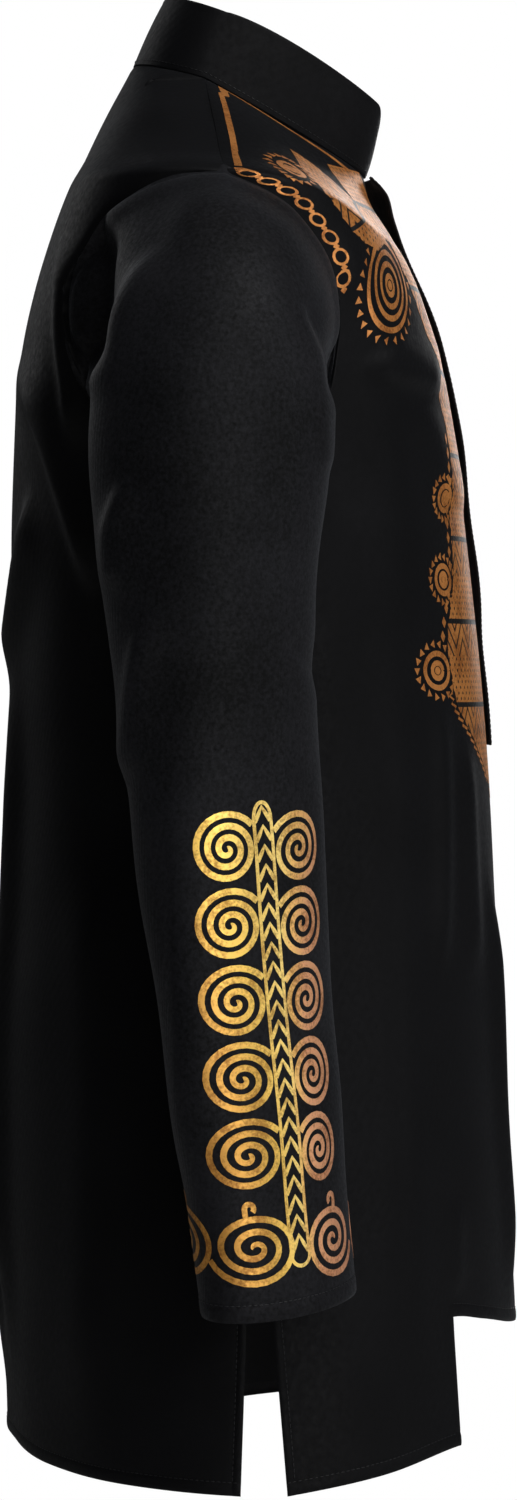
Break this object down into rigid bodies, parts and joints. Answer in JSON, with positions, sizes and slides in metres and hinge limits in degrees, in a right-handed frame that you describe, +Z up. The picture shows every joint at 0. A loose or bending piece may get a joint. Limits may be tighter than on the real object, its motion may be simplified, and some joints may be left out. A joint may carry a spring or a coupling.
{
  "type": "dashiki shirt",
  "caption": "Long-sleeved hip-length dashiki tunic with a stand collar, fly placket, stepped front hem and side slits, in the hollow form it has when worn.",
  "frame": {"origin": "middle of the neck opening, level with the neck points of the shoulder seams, where the wearer's neck and shoulders hold the shirt", "axes": "+Z up along the wearer, -Y to the wearer's front, +X to the wearer's left"},
  "size_m": [0.64, 0.2923, 0.8226],
  "materials": {
    "black_cloth": "plain black polyester and cotton shirting with a soft sheen"
  },
  "bodies": {
    "root": {"front": "black_cloth", "back": "black_cloth", "sleeve_right": "black_cloth", "sleeve_left": "black_cloth", "collar": "black_cloth", "placket": "black_cloth"}
  },
  "joints": []
}
